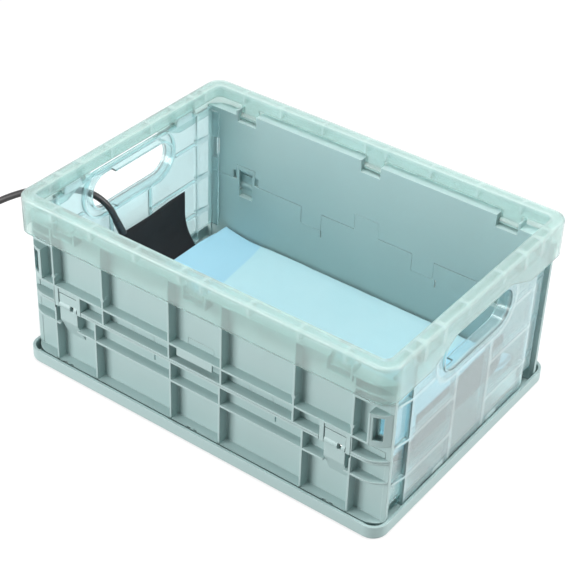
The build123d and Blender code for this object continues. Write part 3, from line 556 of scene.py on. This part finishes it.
# heating pad: thin stuffed cover with rounded edges, standing up at both ends, its far corners higher
heatingPad = {
    "floor": 0.0129, "bendRadius": 0.056, "bendAngle": math.radians(89.2), "flatHalf": 0.1414, "rise": 0.0222,
    "halfWidth": 0.0765, "thickness": 0.0050, "edgeThickness": 0.0036, "edgeSwell": 0.014,
    "edgeRound": 0.0018, "edgeLeast": 0.02,
    "nearLift": 0.0012, "farLift": 0.0036, "liftStart": -0.005, "standStart": 0.05, "standHeight": 0.04,
    "sway": 0.0012, "swayWaves": (18, 22), "edgeSway": 0.0015, "edgeSwayWaves": (30, 1),
    "rows": 260, "across": 72,
}


def padThickness(values, edgeDistance):
    swell = smoothShare(edgeDistance / values["edgeSwell"])
    body = values["edgeThickness"] + (values["thickness"] - values["edgeThickness"]) * swell
    inside = max(1 - edgeDistance / values["edgeRound"], 0)
    return body * math.sqrt(max(1 - inside ** 2, values["edgeLeast"]))


def makePad(values):
    total = bentLine(values, 0)[2]
    rows, across = values["rows"], values["across"]
    columns = 2 * across
    halfWidth = values["halfWidth"]

    # columns run over the top of the pad, then back under it
    def shareAcross(c):
        return c / (across - 1) if c < across else 1 - (c - across) / (across - 1)

    def place(r, c):
        along = total * r / (rows - 1)
        y = halfWidth * (2 * shareAcross(c) - 1)
        middle, inward, _ = bentLine(values, along)
        edge = min(along, total - along, halfWidth - abs(y))
        half = padThickness(values, edge) / 2 * (1 if c < across else -1)
        lift = max(middle.z - values["standStart"], 0) / values["standHeight"]
        sway = lift * unevenness(values["sway"], values["swayWaves"], along, y, 3.1)
        edgeSway = lift * unevenness(values["edgeSway"], values["edgeSwayWaves"], along, 1.3, 5.0)
        point = middle + inward * (half + sway)
        rise = smoothShare((y - values["liftStart"]) / (halfWidth - values["liftStart"]))
        rise = values["nearLift"] + (values["farLift"] - values["nearLift"]) * rise
        return (point.x, y + edgeSway, point.z + lift * rise)

    mesh = gridMesh("heatingPad", rows, columns, place, True)
    uv = mesh.uv_layers.new(name="weave")
    for loop in mesh.loops:
        r, c = divmod(loop.vertex_index, columns)
        uv.data[loop.index].uv = (total * r / (rows - 1), 2 * halfWidth * shareAcross(c))
    cleanNormals(mesh)
    return newPiece("heatingPad", mesh, padFinish, "crate", "pad_fabric", "heating_pad_cover")


padPiece = makePad(heatingPad)
print("heating pad made")

# absorbent liner: one sheet, its long edges turned under beside the pad
liner = {
    "floor": 0.0182, "bendRadius": 0.0570, "bendAngle": math.radians(42.7), "flatHalf": 0.1414, "rise": 0.0,
    "halfWidth": 0.1290, "foldRadius": 0.0028, "tuck": 0.040, "topLift": 0.0012, "thickness": 0.0014,
    "padEdge": 0.076, "cornerAngle": math.radians(16.0), "wallLift": 0.0020, "wallLiftStart": 0.108,
    "coreEdge": 0.129, "coreSlope": 0.006, "coreHeight": 0.0006,
    "ripple": 0.0007, "rippleWaves": (16, 13), "crease": 0.0005, "creaseWaves": (55, 9),
    "rows": 180, "across": 150,
}


def makeLiner(values):
    total = bentLine(values, 0)[2]
    rows, across = values["rows"], values["across"]
    arc = values["bendRadius"] * values["bendAngle"]
    flat, radius = values["halfWidth"], values["foldRadius"]
    turned = math.pi * radius
    width = 2 * (flat + turned + values["tuck"])

    # place across and height of a point, by its distance from the middle of the flat sheet
    def fold(distance):
        side = 1 if distance >= 0 else -1
        run = abs(distance)
        if run <= flat:
            return side * run, 0.0
        if run <= flat + turned:
            turn = (run - flat) / radius
            return side * (flat + radius * math.sin(turn)), -radius * (1 - math.cos(turn))
        return side * (flat - (run - flat - turned)), -2 * radius

    def place(r, c):
        along = total * r / (rows - 1)
        y, height = fold(width * (c / (across - 1) - 0.5))
        fall = smoothShare((abs(y) - values["padEdge"]) / (flat - values["padEdge"]))  # limp beyond the pad
        angle = values["bendAngle"] + (values["cornerAngle"] - values["bendAngle"]) * fall
        middle, inward, _ = bentLine({**values, "bendAngle": angle, "bendRadius": arc / angle}, along)
        onTop = 1 if height > -radius else 0
        wallStart = values["wallLiftStart"]
        height += values["wallLift"] * smoothShare((abs(y) - wallStart) / (flat - wallStart))
        core = min(max((values["coreEdge"] - abs(middle.x)) / values["coreSlope"], 0), 1)
        ripple = unevenness(values["ripple"], values["rippleWaves"], middle.x, y, 1.7)
        crease = unevenness(values["crease"], values["creaseWaves"], middle.x, y, 8.2)
        relief = onTop * (values["coreHeight"] * core + ripple + crease)
        point = middle + inward * (values["topLift"] + height + relief)
        return (point.x, y, point.z)

    mesh = gridMesh("absorbentLiner", rows, across, place, False)
    cleanNormals(mesh)
    piece = newPiece("absorbentLiner", mesh, linerFinish, "crate", "liner_sheet", "absorbent_liner")
    wall = piece.modifiers.new("sheetThickness", "SOLIDIFY")
    wall.thickness = values["thickness"]
    wall.offset = 0
    return piece, width, total


linerPiece, linerWidth, linerLength = makeLiner(liner)
print("liner laid:", round(linerWidth, 3), "by", round(linerLength, 3))
